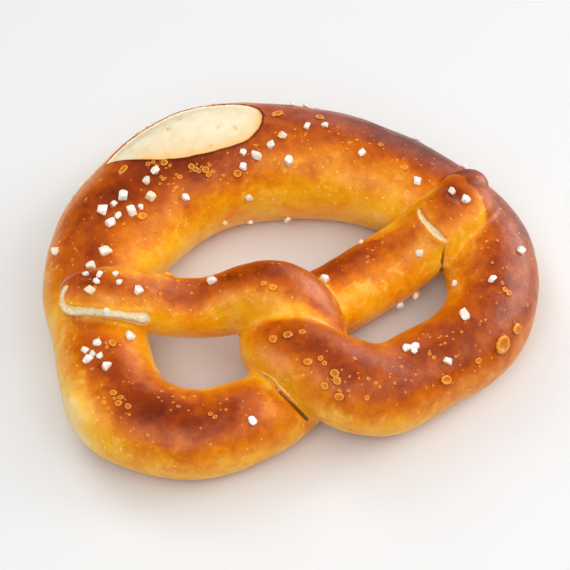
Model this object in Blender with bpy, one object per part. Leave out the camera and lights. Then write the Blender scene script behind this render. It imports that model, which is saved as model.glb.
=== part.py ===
"""Soft pretzel: one rope of dough, laid in a ring, twisted once and baked as one body.

The rope is thick in the belly at the back and thin in the two arms, whose ends lie on the
ring at the front left and the back right. The belly is scored open along its crown, and coarse
salt is baked into the crust. The pretzel rests on the flat that the baking tray gives it.
All lengths below are millimetres and all angles degrees, until a point is placed.
"""
import math
import random

import bmesh
import bpy
import numpy as np
from mathutils import Matrix, Vector

MM = 0.001

# The rope's middle line and section at each station: x, y, z, width, height.
LEFT_ARM = [
    (-66, 12, 28, 14, 11),
    (-58, 8.5, 27.5, 18, 15),
    (-47, 4.5, 23, 19, 17),
    (-35, 1, 18, 19, 18),
    (-24, -1.5, 18, 20, 19),
]
REAR_CROSSING_OVER = [
    (-14, -6, 23, 23, 21),
    (-6, -11.5, 23, 24, 22),
]
FRONT_CROSSING_UNDER = [
    (-3, -21, 16, 25, 20),
    (-12, -34.5, 10, 25, 20),
]
LEFT_LOOP = [
    (-31, -42.5, 12.5, 27, 24),
    (-49.2, -41.2, 13, 28.5, 26),
    (-58.5, -34.7, 13, 29.5, 26),
    (-65.5, -24.6, 13, 31.8, 26),
    (-65.9, -12, 13, 31, 26),
    (-64, 3, 12.5, 30, 25),
    (-60.6, 22.7, 12.5, 31.6, 26),
]
BELLY = [
    (-46.5, 40, 14, 40.5, 31),
    (-30.5, 50.5, 15.5, 43.5, 35),
    (-12.5, 56, 17.5, 45, 38),
    (5, 55, 16.5, 42.5, 38),
    (21, 49, 16, 39, 36),
    (37, 40.5, 15, 36.5, 33),
    (51.5, 26, 14, 33.5, 30),
]
RIGHT_LOOP = [
    (61, 11.5, 13, 31, 28),
    (65, -2.5, 13, 31, 28),
    (62, -19, 13, 30, 27),
    (55, -32, 13, 29, 26),
    (41.5, -41.5, 13, 28, 26),
    (28, -45, 13.5, 28, 26),
    (14, -48.5, 15, 29, 26),
]
FRONT_CROSSING_OVER = [
    (1.5, -45.5, 19, 29, 25),
    (-7, -37, 22, 27, 24),
    (-12.5, -25.5, 18, 26, 23),
]
REAR_CROSSING_UNDER = [
    (-4, -11, 11.5, 25, 20),
    (11.7, -8, 12, 24, 22),
]
RIGHT_ARM = [
    (25, -4.5, 12.5, 24, 22),
    (39, -2, 16, 24, 20),
    (51, 0, 23.5, 22, 17.5),
    (61.5, 2.8, 26.2, 20, 13),
]
STATIONS = (LEFT_ARM + REAR_CROSSING_OVER + FRONT_CROSSING_UNDER + LEFT_LOOP + BELLY
            + RIGHT_LOOP + FRONT_CROSSING_OVER + REAR_CROSSING_UNDER + RIGHT_ARM)

SIDES = 24              # faces round the rope
RING_SPACING = 5.5      # between rings of the rope
CAP_RINGS = 4           # rings that round off each arm's end
SAG = 1.08              # how much fuller the rope's lower half is, as risen dough settles

# A place on the crust is (distance along the rope, lean from the section's top, + to the right).
# The score: distance along the rope, lean of its far edge, lean of its near edge.
SCORE = [
    (245.2, -45, -45),
    (251.5, -48, -9),
    (261.5, -47, 16),
    (272.5, -42, 24),
    (282.5, -33, 20),
    (288.5, -23, 8),
    (290.5, -8, -8),
]
SCORE_DEPTH = 1.4       # below the crust at the score's edge
SCORE_BULGE = 0.9       # by which the crumb rises again in the middle

# The crack across the right arm, where it bends down off the ring.
ARM_CRACK = [
    (563.4, 6, 24),
    (564.2, -22, 53),
    (565, 6, 24),
]
CRACK_DEPTH = 0.9
CRACK_BULGE = 0.2

CUTTER_PROUD = 3        # how far each cutter stands out of the crust

# Salt baked into the crust: (distance along the rope, lean, longest side).
SALT = [
    (251, 9, 2.8), (245.5, 10, 2.8), (236, 2, 3.0), (232, -1, 2.1), (228.5, -7, 3.3),
    (236, 21, 2.1), (232.5, 17, 3.3), (229, 9, 2.3), (225.5, 7, 3.3), (241.5, 22, 3.0),
    (252.5, 45, 2.6), (214.5, -46, 3.1), (215, 15, 3.7), (208.5, 3, 2.8), (1.5, -20, 2.0),
    (5.5, -7, 2.4), (5, 10, 2.3), (3.5, 30, 3.0), (10.5, 9, 2.1), (9.5, -11, 2.0),
    (15.5, 19, 3.0), (8.5, 73, 2.4), (177.5, 33, 3.0), (176, -7, 2.6), (175, -22, 2.3),
    (171.5, -21, 3.0), (172.5, -14, 2.2), (171, -7, 2.2), (167, -3, 2.8), (45.5, -14, 2.8),
    (280.5, 31, 2.1), (287, 35, 3.4), (279.5, 44, 2.6), (293.5, 25, 2.4), (297.5, 15, 2.4),
    (305, 1, 2.3), (310.5, -4, 2.1), (300, 39, 3.0), (281.5, 74, 2.0), (325.5, 18, 2.4),
    (347, 21, 2.6), (265.5, 97, 1.7), (284, 113, 1.7), (300.5, 116, 2.4), (577, 0, 2.6),
    (576, 13, 2.8), (556.5, 39, 2.3), (540.5, -46, 1.7), (521, -7, 2.8), (400, 57, 2.0),
    (401.5, 3, 2.6), (388.5, -33, 2.3), (541, 117, 2.6), (547, 118, 2.8), (419.5, 9, 3.6),
    (441, 7, 2.9), (443.7, 12, 2.7), (442.5, 3, 2.2), (435, -31, 2.8), (121, -33, 2.8),
    (300, -50, 1.7), (304, -51, 1.7), (308, -54, 1.7), (263, -72, 2.0), (239, -75, 2.2),
    (337, -58, 2.2), (354, -50, 2.2), (360, -54, 2.0),
]
SALT_SUNK = 0.2         # of a grain's longest side, from its middle down to the crust
SALT_SEED = 11

# Large blisters in the crust: (distance along the rope, lean, length along, width, height).
BLISTERS = [
    (417.5, -51, 6.5, 5.0, 1.5),
    (411.3, -53, 4.0, 3.4, 1.0),
    (438.8, -51, 4.0, 3.0, 0.9),
    (25.4, -37, 3.6, 2.2, 1.0),
    (174.8, 10, 3.0, 2.4, 0.8),
    (244.6, -16, 4.4, 2.4, 0.7),
    (295.5, -12, 4.6, 2.4, 0.9),
    (469.3, -26, 3.0, 2.6, 0.7),
    (481.1, -8, 3.2, 2.8, 0.7),
]

# Knobs of dough pinched up at the arms' ends: x, y, z, length, width, height.
KNOBS = [
    (-65.5, 12.8, 29.5, 10, 9, 9.5),
    (63.9, 9.2, 28.8, 9, 9, 9),
]

# The middle of the rope's outline on the tray, which is where the origin is.
OUTLINE_MIDDLE = (-0.85, 7.77)
TRAY_SIZE = 400


def natural_spline(at, rows):
    """The second derivatives of the natural cubic spline through the rows."""
    count = len(at)
    step = np.diff(at)
    slope = np.diff(rows, axis=0) / step[:, None]
    matrix = np.eye(count)
    target = np.zeros_like(rows)
    for i in range(1, count - 1):
        matrix[i, i - 1] = step[i - 1]
        matrix[i, i] = 2 * (step[i - 1] + step[i])
        matrix[i, i + 1] = step[i]
        target[i] = 6 * (slope[i] - slope[i - 1])
    return np.linalg.solve(matrix, target)


class Rope:
    """The rope of dough as a smooth line with an elliptical section."""

    def __init__(self, stations, middle):
        self.rows = np.array(stations, dtype=float)
        self.rows[:, 0] -= middle[0]
        self.rows[:, 1] -= middle[1]
        chords = np.linalg.norm(np.diff(self.rows[:, :3], axis=0), axis=1)
        self.at = np.concatenate([[0.0], np.cumsum(chords)])
        self.curve = natural_spline(self.at, self.rows)
        self.length = self.at[-1]
        self.first_cap = self.rows[0, 3] / 2
        self.last_cap = self.rows[-1, 3] / 2

    def row(self, u):
        """The rope's row at u, and its rate of change."""
        i = int(np.clip(np.searchsorted(self.at, u) - 1, 0, len(self.at) - 2))
        h = self.at[i + 1] - self.at[i]
        a = (self.at[i + 1] - u) / h
        b = (u - self.at[i]) / h
        ends = self.rows[i], self.rows[i + 1]
        bends = self.curve[i], self.curve[i + 1]
        value = (a * ends[0] + b * ends[1]
                 + ((a ** 3 - a) * bends[0] + (b ** 3 - b) * bends[1]) * h * h / 6)
        rate = ((ends[1] - ends[0]) / h
                + ((3 * b * b - 1) * bends[1] - (3 * a * a - 1) * bends[0]) * h / 6)
        return value, rate

    def section(self, u):
        """Middle, side and up directions, half width and half height at u."""
        inside = min(max(u, 0.0), self.length)
        value, rate = self.row(inside)
        along = Vector(rate[:3]).normalized()
        side = along.cross(Vector((0, 0, 1))).normalized()
        up = side.cross(along)
        cap = self.first_cap if u < 0 else self.last_cap
        past = (u - inside) / cap
        shrink = math.sqrt(max(0.0, 1 - past * past))
        middle = Vector(value[:3]) + along * (u - inside)
        return middle, side, up, value[3] / 2 * shrink, value[4] / 2 * shrink

    def place(self, u, lean, lift=0.0):
        """The point of the crust at u and lean, lifted by lift, and the way out there."""
        middle, side, up, half_width, half_height = self.section(u)
        across = math.sin(math.radians(lean))
        above = math.cos(math.radians(lean))
        if above < 0:
            half_height *= SAG
        out = side * across * half_height + up * above * half_width
        if out.length < 1e-9:
            out = up.copy()
        out.normalize()
        point = middle + side * across * half_width + up * above * half_height
        return (point + out * lift) * MM, out

    def rings(self):
        """Distances along the rope of all its rings, the rounded ends included."""
        turns = [math.cos(math.pi / 2 * i / CAP_RINGS) for i in range(CAP_RINGS)]
        start = [-self.first_cap * turn for turn in turns]
        end = [self.length + self.last_cap * turn for turn in reversed(turns)]
        count = round(self.length / RING_SPACING)
        return start + [self.length * i / count for i in range(count + 1)] + end


def new_object(name, bm, collection=None):
    """A mesh object from the bmesh, with its faces outwards."""
    bmesh.ops.recalc_face_normals(bm, faces=bm.faces)
    mesh = bpy.data.meshes.new(name)
    bm.to_mesh(mesh)
    bm.free()
    made = bpy.data.objects.new(name, mesh)
    (collection or bpy.context.scene.collection).objects.link(made)
    return made


def wrapped_grid(columns, rows, placed):
    """A grid whose point (i, j) lies at placed(i, j), with the points that meet merged."""
    bm = bmesh.new()
    bmesh.ops.create_grid(bm, x_segments=columns, y_segments=rows, size=0.5)
    for vert in bm.verts:
        i = round((vert.co.x + 0.5) * columns)
        j = round((vert.co.y + 0.5) * rows)
        vert.co = placed(i, j)
    bmesh.ops.remove_doubles(bm, verts=bm.verts, dist=0.005 * MM)
    return bm


def dough(rope):
    """The bare rope, round ends included."""
    rings = rope.rings()
    bm = wrapped_grid(len(rings) - 1, SIDES,
                      lambda i, j: rope.place(rings[i], 360 * j / SIDES)[0])
    return new_object("pretzel", bm)


def opening_cutter(name, rope, outline, steps, depth, bulge, collection):
    """A lens that follows the crust, sunk by depth at its edge and by less in its middle."""
    rows = np.array(outline, dtype=float)
    at = np.linspace(0, 1, len(rows))
    curve = natural_spline(at, rows)
    columns, across = steps

    def edges(t):
        i = min(int(t * (len(rows) - 1)), len(rows) - 2)
        h = at[1]
        a = (at[i + 1] - t) / h
        b = (t - at[i]) / h
        return (a * rows[i] + b * rows[i + 1]
                + ((a ** 3 - a) * curve[i] + (b ** 3 - b) * curve[i + 1]) * h * h / 6)

    def placed(i, j):
        u, far, near = edges((1 - math.cos(math.pi * i / columns)) / 2)
        v = j / across
        middle = math.sin(math.pi * i / columns) * math.sin(math.pi * v)
        return rope.place(u, far + (near - far) * v, bulge * middle - depth)[0]

    bm = wrapped_grid(columns, across, placed)
    bmesh.ops.recalc_face_normals(bm, faces=bm.faces)
    u, far, near = edges(0.5)
    outwards = rope.place(u, (far + near) / 2)[1]
    facing = sum(face.normal.dot(outwards) for face in bm.faces)
    away = -1 if facing > 0 else 1
    bmesh.ops.solidify(bm, geom=bm.faces[:], thickness=away * (depth + CUTTER_PROUD) * MM)
    cutter = new_object(name, bm, collection)
    cutter.hide_render = True
    cutter.display_type = "WIRE"
    return cutter


def frame_on_crust(rope, u, lean, lift):
    """A matrix at a place on the crust: X along the rope, Z the way out."""
    point, out = rope.place(u, lean, lift)
    ahead = rope.place(u + 1, lean, lift)[0] - rope.place(u - 1, lean, lift)[0]
    across = out.cross(ahead).normalized()
    along = across.cross(out).normalized()
    turn = Matrix((along, across, out)).transposed()
    return Matrix.Translation(point) @ turn.to_4x4()


def salt_grain(draw, size):
    """A blocky crystal, each corner broken off to a short edge, about 28 triangles."""
    half = Vector((size / 2, size / 2 * draw.uniform(0.68, 0.9), size / 2 * draw.uniform(0.6, 0.8)))
    bm = bmesh.new()
    for x in (-1, 1):
        for y in (-1, 1):
            for z in (-1, 1):
                broken = draw.uniform(0.3, 0.6)
                first = Vector((x * (1 - broken), y, z * (1 - draw.uniform(0, 0.2))))
                second = Vector((x, y * (1 - broken), z * (1 - draw.uniform(0, 0.3))))
                for corner in (first, second):
                    bm.verts.new(Vector(a * b for a, b in zip(corner, half)) * MM)
    hull = bmesh.ops.convex_hull(bm, input=bm.verts)
    bmesh.ops.delete(bm, geom=hull["geom_interior"], context="VERTS")
    return bm


def add_salt(rope, toppings):
    """Every grain of salt, partly sunk in the crust."""
    draw = random.Random(SALT_SEED)
    for number, (u, lean, size) in enumerate(SALT):
        bm = salt_grain(draw, size)
        tumble = (Matrix.Rotation(draw.uniform(0, math.tau), 4, "Z")
                  @ Matrix.Rotation(draw.uniform(-0.5, 0.5), 4, "X")
                  @ Matrix.Rotation(draw.uniform(-0.4, 0.4), 4, "Y"))
        seat = frame_on_crust(rope, u, lean, SALT_SUNK * size)
        bmesh.ops.transform(bm, matrix=seat @ tumble, verts=bm.verts)
        new_object(f"salt_{number}", bm, toppings)


def add_blisters(rope, toppings):
    """Every large blister, as a low dome whose lower half is inside the crust."""
    for number, (u, lean, length, width, height) in enumerate(BLISTERS):
        bm = bmesh.new()
        bmesh.ops.create_uvsphere(bm, u_segments=8, v_segments=6, radius=1)
        shape = Matrix.Diagonal((length / 2 * MM, width / 2 * MM, height * MM, 1))
        seat = frame_on_crust(rope, u, lean, -0.15 * height)
        bmesh.ops.transform(bm, matrix=seat @ shape, verts=bm.verts)
        new_object(f"blister_{number}", bm, toppings)


def add_knobs(toppings):
    """The knob at each arm's end."""
    for number, (x, y, z, length, width, height) in enumerate(KNOBS):
        bm = bmesh.new()
        bmesh.ops.create_uvsphere(bm, u_segments=16, v_segments=10, radius=1)
        shape = Matrix.Diagonal((length / 2 * MM, width / 2 * MM, height / 2 * MM, 1))
        place = Vector((x - OUTLINE_MIDDLE[0], y - OUTLINE_MIDDLE[1], z)) * MM
        bmesh.ops.transform(bm, matrix=Matrix.Translation(place) @ shape, verts=bm.verts)
        new_object(f"knob_{number}", bm, toppings)


def tray_cutter(collection):
    """The block below the tray's surface."""
    bm = bmesh.new()
    bmesh.ops.create_cube(bm, size=TRAY_SIZE * MM)
    bmesh.ops.translate(bm, vec=(0, 0, -TRAY_SIZE / 2 * MM), verts=bm.verts)
    return new_object("tray", bm, collection)


def work_in(target, operation, tools, use_self=False):
    """Join or cut a collection of solids into the target, and clear them away."""
    step = target.modifiers.new(operation.lower(), "BOOLEAN")
    step.operation = operation
    step.operand_type = "COLLECTION"
    step.collection = tools
    step.solver = "EXACT"
    step.use_self = use_self
    bpy.context.view_layer.objects.active = target
    bpy.ops.object.modifier_apply(modifier=step.name)
    for tool in list(tools.objects):
        bpy.data.objects.remove(tool, do_unlink=True)
    bpy.data.collections.remove(tools)


def keep_outer_skin(target):
    """Fill the hollows that the union sealed and drop its scraps: only the largest skin stays."""
    bm = bmesh.new()
    bm.from_mesh(target.data)
    unseen = set(bm.verts)
    skins = []
    while unseen:
        skin = set()
        front = [unseen.pop()]
        while front:
            vert = front.pop()
            skin.add(vert)
            for edge in vert.link_edges:
                other = edge.other_vert(vert)
                if other in unseen:
                    unseen.remove(other)
                    front.append(other)
        skins.append(skin)
    largest = max(skins, key=len)
    rest = [vert for vert in bm.verts if vert not in largest]
    bmesh.ops.delete(bm, geom=rest, context="VERTS")
    bm.to_mesh(target.data)
    bm.free()


def new_collection(name):
    """An empty collection in the scene."""
    made = bpy.data.collections.new(name)
    bpy.context.scene.collection.children.link(made)
    return made


def crust_material():
    """Lye-dipped crust: deep orange brown with a soft gloss."""
    crust = bpy.data.materials.new("lye_crust")
    crust.use_nodes = True
    shader = crust.node_tree.nodes["Principled BSDF"]
    shader.inputs["Base Color"].default_value = (0.42, 0.13, 0.025, 1)
    shader.inputs["Roughness"].default_value = 0.38
    shader.inputs["Metallic"].default_value = 0.0
    return crust


def main():
    for old in list(bpy.data.objects):
        bpy.data.objects.remove(old, do_unlink=True)
    rope = Rope(STATIONS, OUTLINE_MIDDLE)
    pretzel = dough(rope)

    cutters = new_collection("cutters")
    opening_cutter("score", rope, SCORE, (18, 8), SCORE_DEPTH, SCORE_BULGE, cutters)
    opening_cutter("arm_crack", rope, ARM_CRACK, (4, 8), CRACK_DEPTH, CRACK_BULGE, cutters)
    tray_cutter(cutters)

    toppings = new_collection("toppings")
    add_salt(rope, toppings)
    add_blisters(rope, toppings)
    add_knobs(toppings)

    work_in(pretzel, "UNION", toppings, use_self=True)
    keep_outer_skin(pretzel)
    work_in(pretzel, "DIFFERENCE", cutters)
    keep_outer_skin(pretzel)
    pretzel.data.materials.clear()
    pretzel.data.materials.append(crust_material())
    pretzel.data.shade_smooth()
    pretzel.data.set_sharp_from_angle(angle=math.radians(35))


main()
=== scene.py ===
import math
import random

import bmesh
import bpy
import numpy as np
from mathutils import Matrix, Vector, noise
from mathutils.kdtree import KDTree


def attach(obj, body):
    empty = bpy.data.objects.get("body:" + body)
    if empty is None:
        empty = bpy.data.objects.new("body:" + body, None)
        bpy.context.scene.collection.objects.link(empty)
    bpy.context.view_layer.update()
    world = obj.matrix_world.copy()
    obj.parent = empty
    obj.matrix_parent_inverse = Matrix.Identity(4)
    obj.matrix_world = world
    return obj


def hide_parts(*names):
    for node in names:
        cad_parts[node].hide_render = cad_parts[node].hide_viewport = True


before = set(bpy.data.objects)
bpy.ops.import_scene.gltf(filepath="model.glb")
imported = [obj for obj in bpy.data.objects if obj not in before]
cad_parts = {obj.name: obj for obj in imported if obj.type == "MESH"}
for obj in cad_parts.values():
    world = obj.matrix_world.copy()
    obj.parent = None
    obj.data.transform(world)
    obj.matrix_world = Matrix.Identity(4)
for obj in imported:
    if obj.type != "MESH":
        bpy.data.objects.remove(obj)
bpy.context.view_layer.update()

# Lengths are millimetres and angles degrees until a mesh is made: MM turns them to metres.
MM = 0.001

# ---------------------------------------------------------------------------------------------
# The rope of dough
# ---------------------------------------------------------------------------------------------

# Its middle line and section at each station: x, y, z, width, height.
LEFT_ARM = [
    (-66, 12, 28, 14, 11),
    (-58, 8.5, 27.5, 18, 15),
    (-47, 4.5, 23, 19, 17),
    (-35, 1, 18, 19, 18),
    (-24, -1.5, 18, 20, 19),
]
REAR_CROSSING_OVER = [
    (-14, -6, 23, 23, 21),
    (-6, -11.5, 23, 24, 22),
]
FRONT_CROSSING_UNDER = [
    (-3, -21, 16, 25, 20),
    (-12, -34.5, 10, 25, 20),
]
LEFT_LOOP = [
    (-31, -42.5, 12.5, 27, 24),
    (-49.2, -41.2, 13, 28.5, 26),
    (-58.5, -34.7, 13, 29.5, 26),
    (-65.5, -24.6, 13, 31.8, 26),
    (-65.9, -12, 13, 31, 26),
    (-64, 3, 12.5, 30, 25),
    (-60.6, 22.7, 12.5, 31.6, 26),
]
BELLY = [
    (-46.5, 40, 14, 40.5, 31),
    (-30.5, 50.5, 15.5, 43.5, 35),
    (-12.5, 56, 17.5, 45, 38),
    (5, 55, 16.5, 42.5, 38),
    (21, 49, 16, 39, 36),
    (37, 40.5, 15, 36.5, 33),
    (51.5, 26, 14, 33.5, 30),
]
RIGHT_LOOP = [
    (61, 11.5, 13, 31, 28),
    (65, -2.5, 13, 31, 28),
    (62, -19, 13, 30, 27),
    (55, -32, 13, 29, 26),
    (41.5, -41.5, 13, 28, 26),
    (28, -45, 13.5, 28, 26),
    (14, -48.5, 15, 29, 26),
]
FRONT_CROSSING_OVER = [
    (1.5, -45.5, 19, 29, 25),
    (-7, -37, 22, 27, 24),
    (-12.5, -25.5, 18, 26, 23),
]
REAR_CROSSING_UNDER = [
    (-4, -11, 11.5, 25, 20),
    (11.7, -8, 12, 24, 22),
]
RIGHT_ARM = [
    (25, -4.5, 12.5, 24, 22),
    (39, -2, 16, 24, 20),
    (51, 0, 23.5, 22, 17.5),
    (61.5, 2.8, 26.2, 20, 13),
]
STATIONS = (LEFT_ARM + REAR_CROSSING_OVER + FRONT_CROSSING_UNDER + LEFT_LOOP + BELLY
            + RIGHT_LOOP + FRONT_CROSSING_OVER + REAR_CROSSING_UNDER + RIGHT_ARM)
OUTLINE_MIDDLE = (-0.85, 7.77)   # the origin, in the stations' own x and y
SAG = 1.08                      # how much fuller the rope's lower half is

# A place on the crust is its distance along the rope, and its lean from the section's top, more
# to the right of the way along.

# The score is a lens: distance along, and its two edges' leans.
SCORE = [
    (245.2, -45, -45),
    (251.5, -48, -9),
    (261.5, -47, 16),
    (272.5, -42, 24),
    (282.5, -33, 20),
    (288.5, -23, 8),
    (290.5, -8, -8),
]
EDGE_POINTS = 40        # along each edge

# Grains of salt: distance along the rope, lean, longest side.
SALT = [
    (251, 9, 2.8), (245.5, 10, 2.8), (236, 2, 3.0), (232, -1, 2.1), (228.5, -7, 3.3),
    (236, 21, 2.1), (232.5, 17, 3.3), (229, 9, 2.3), (225.5, 7, 3.3), (241.5, 22, 3.0),
    (252.5, 45, 2.6), (214.5, -46, 3.1), (215, 15, 3.7), (208.5, 3, 2.8), (1.5, -20, 2.0),
    (5.5, -7, 2.4), (5, 10, 2.3), (3.5, 30, 3.0), (10.5, 9, 2.1), (9.5, -11, 2.0),
    (15.5, 19, 3.0), (8.5, 73, 2.4), (177.5, 33, 3.0), (176, -7, 2.6), (175, -22, 2.3),
    (171.5, -21, 3.0), (172.5, -14, 2.2), (171, -7, 2.2), (167, -3, 2.8), (45.5, -14, 2.8),
    (280.5, 31, 2.1), (287, 35, 3.4), (279.5, 44, 2.6), (293.5, 25, 2.4), (297.5, 15, 2.4),
    (305, 1, 2.3), (310.5, -4, 2.1), (300, 39, 3.0), (281.5, 74, 2.0), (325.5, 18, 2.4),
    (347, 21, 2.6), (265.5, 97, 1.7), (284, 113, 1.7), (300.5, 116, 2.4), (575, -20, 2.6),
    (576, 13, 2.8), (556.5, 39, 2.3), (540.5, -46, 1.7), (521, -7, 2.8), (400, 57, 2.0),
    (401.5, 3, 2.6), (388.5, -33, 2.3), (541, 117, 2.6), (547, 118, 2.8), (419.5, 9, 3.6),
    (441, 7, 2.9), (443.7, 12, 2.7), (442.5, 3, 2.2), (435, -31, 2.8), (121, -33, 2.8),
    (300, -50, 1.7), (304, -51, 1.7), (308, -54, 1.7), (263, -72, 2.0), (239, -75, 2.2),
    (337, -58, 2.2), (354, -50, 2.2), (360, -54, 2.0),
]
SALT_SEED = 11

# Large blisters: distance along the rope, lean, length along, width, height.
BLISTERS = [
    (417.5, -51, 6.5, 5.0, 1.5),
    (411.3, -53, 4.0, 3.4, 1.0),
    (438.8, -51, 4.0, 3.0, 0.9),
    (25.4, -37, 3.6, 2.2, 1.0),
    (174.8, 10, 3.0, 2.4, 0.8),
    (244.6, -16, 4.4, 2.4, 0.7),
    (295.5, -12, 4.6, 2.4, 0.9),
    (469.3, -26, 3.0, 2.6, 0.7),
    (481.1, -8, 3.2, 2.8, 0.7),
]

# Small blisters that stand alone: distance along the rope, lean, across.
SMALL_BLISTERS = [
    (404.3, -21, 1.9), (403.7, -15, 1.7), (425.3, -50, 1.9), (483.6, -23, 2.6), (479, 6, 2.0),
    (474.8, -29, 2.3), (473.1, -17, 1.8), (472, -20, 1.5), (468.2, -33, 2.4), (469.8, -46, 2.3),
    (466.3, -51, 2.5), (461, -44, 1.6), (251.3, -1, 1.7), (255.3, 9, 2.3), (254.2, 3, 1.9),
    (253, 1, 1.4), (261.6, 27, 2.2), (262.2, 31, 2.0), (265.2, 36, 2.4), (265.4, 41, 1.8),
    (263, 34, 1.6), (256, 28, 1.7), (276.5, 49, 2.6), (341.1, 13, 1.8), (308.6, -16, 2.6),
    (330.1, -1, 1.8), (224.7, 39, 1.3), (158.4, -13, 1.9), (155.4, -19, 2.1), (158.3, -28, 1.5),
    (156, -12, 1.6), (152.8, -17, 1.8), (130, -9, 1.5), (129, -14, 1.3), (178.5, -48, 1.6),
    (63.6, 22, 2.2), (61.6, 18, 1.8), (233.5, 27, 2.6), (211, -52, 1.7), (209.5, -42, 1.3),
]

# Finer ones, scattered: first and last distance, first and last lean, how many, least and
# most across.
BLISTER_PATCHES = [
    (448, 470, -45, 5, 26, 0.6, 1.2),
    (404, 440, -60, 20, 26, 0.6, 1.3),
    (246, 262, -4, 34, 20, 0.7, 1.4),
    (262, 300, 24, 60, 20, 0.6, 1.2),
    (298, 348, -45, 20, 26, 0.6, 1.3),
    (206, 242, -55, 30, 22, 0.6, 1.3),
    (120, 180, -45, 25, 34, 0.6, 1.3),
    (352, 404, -60, 20, 22, 0.6, 1.3),
    (50, 76, -30, 30, 8, 0.6, 1.2),
    (510, 550, -40, 30, 10, 0.6, 1.2),
    (230, 340, -100, -50, 30, 0.6, 1.3),
    (0, 40, -30, 40, 10, 0.6, 1.2),
]
BLISTER_SEED = 5

# Knobs of dough pinched up at the arms' ends: x and y as at the stations, z, length, width,
# height.
KNOBS = [
    (-65.5, 12.8, 29.5, 10, 9, 9.5),
    (63.8, 9.2, 27.9, 17, 13, 9.6),
]

# How lye and oven browned the crust: distance along the rope, lean of the darkest line, lean
# from there to where half the brown is gone on either side, and how brown it is.
BROWNING = [
    (0, 5, 60, 50, 0.52),
    (15, 16, 34, 30, 0.58),
    (30, 0, 45, 42, 0.6),
    (45, -8, 45, 30, 0.7),
    (60, -15, 50, 40, 0.74),
    (75, -15, 60, 38, 0.62),
    (105, -20, 60, 60, 0.27),
    (120, -5, 60, 38, 0.67),
    (135, -8, 52, 46, 0.84),
    (150, 0, 48, 55, 0.82),
    (165, 0, 36, 40, 0.82),
    (180, -15, 42, 40, 0.62),
    (195, -15, 40, 40, 0.35),
    (210, -5, 48, 42, 0.74),
    (225, -10, 50, 40, 0.76),
    (240, 0, 42, 37, 0.82),
    (255, 8, 45, 42, 0.78),
    (270, 15, 60, 46, 0.78),
    (285, 18, 60, 40, 0.68),
    (300, -20, 70, 56, 0.75),
    (315, -30, 60, 52, 0.9),
    (345, -38, 52, 50, 1.0),
    (360, -25, 50, 46, 0.72),
    (375, -42, 48, 58, 0.83),
    (390, -25, 55, 56, 0.8),
    (405, -15, 72, 58, 0.8),
    (420, -8, 76, 60, 0.79),
    (435, -15, 66, 58, 0.8),
    (450, -15, 52, 52, 0.76),
    (465, 0, 64, 54, 0.78),
    (480, 5, 46, 48, 0.76),
    (495, 0, 45, 45, 0.45),
    (510, -15, 50, 45, 0.6),
    (525, -25, 60, 44, 0.75),
    (540, -15, 40, 40, 0.7),
    (555, -2, 30, 40, 0.45),
    (570, 0, 60, 55, 0.33),
]

# Patches made browner (+) or paler (-): distance along the rope, lean, reach, change. Most are
# the crust's own colour; the browner ones low on the arms' and the belly's sides are painted shade,
# and the paler ones on the left loop's outer edge are pale dough with painted highlight.
BAKE_AND_SHADING_PATCHES = [
    (262, 30, 6, 0.2),
    (575, -25, 7, 0.5),
    (570, 10, 4, 0.2),
    (1, -8, 6, 0.25),
    # painted shade: browner low on the sides of the arms and the belly
    (37, 92, 7, 0.22),
    (48, 98, 6, 0.2),
    (522, 78, 7, 0.25),
    (537, 88, 7, 0.25),
    (549, 96, 7, 0.25),
    (280, 122, 9, 0.12),
    (305, 120, 9, 0.12),
    # pale dough with painted highlight: the left loop's outer edge
    (163, -97, 9, -0.3),
    (162, -72, 15, -0.2),
    (190, -75, 14, -0.15),
]

# Places pressed in (-) or raised (+) by fingers and oven: distance, lean, reach, lift.
PRESSED = [
    (575, -8, 2.2, -1.0),
    (575, 12, 1.8, -0.5),
    (2, -8, 2.4, -0.9),
    (252, 36, 1.6, -0.5),
    (126, -22, 2.0, -0.5),
    (123, -12, 2.0, 0.35),
    (24, -36, 1.6, 0.7),
    (30, 62, 3.0, 0.5),
    (320, 30, 6, -0.5),
    (300, 60, 7, -0.5),
]

# Strips along the crust, from here on: x, y and z from the origin, and half the strip's width.

# Where the left arm's end parted from the ring.
END_TEAR = [
    (-69.8, 3.5, 33.2, 0.8),
    (-71.7, 2.9, 32.0, 1.1),
    (-72.5, 1.9, 30.4, 1.2),
    (-72.7, 0.3, 28.4, 1.6),
    (-71.2, -1.6, 27.0, 2.0),
    (-67.8, -3.6, 27.5, 2.1),
    (-64.2, -6.0, 28.4, 2.0),
    (-60.9, -8.2, 29.0, 1.9),
    (-57.5, -9.9, 28.7, 1.8),
    (-54.1, -11.2, 27.8, 1.9),
    (-50.4, -12.3, 26.2, 2.4),
]

# The crack over the right arm where it meets the ring.
ARM_CRACK = [
    (46.0, -4.2, 30.2, 0.5),
    (45.5, -6.5, 30.0, 0.8),
    (45.8, -9.4, 30.0, 1.0),
    (46.6, -11.8, 29.5, 1.2),
    (47.6, -14.3, 29.0, 1.2),
    (48.6, -16.2, 28.2, 0.9),
    (49.7, -17.1, 27.6, 0.5),
]

# A thin ridge where the right loop's crust laps over the left loop's.
FRONT_LIP = [
    (-23.0, -40.6, 22.6, 0.2),
    (-21.4, -44.4, 24.0, 0.4),
    (-20.2, -46.8, 24.2, 0.5),
    (-19.3, -49.4, 23.5, 0.5),
    (-18.1, -51.5, 22.7, 0.5),
    (-17.0, -53.5, 21.6, 0.4),
    (-15.7, -55.3, 20.4, 0.2),
]
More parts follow.
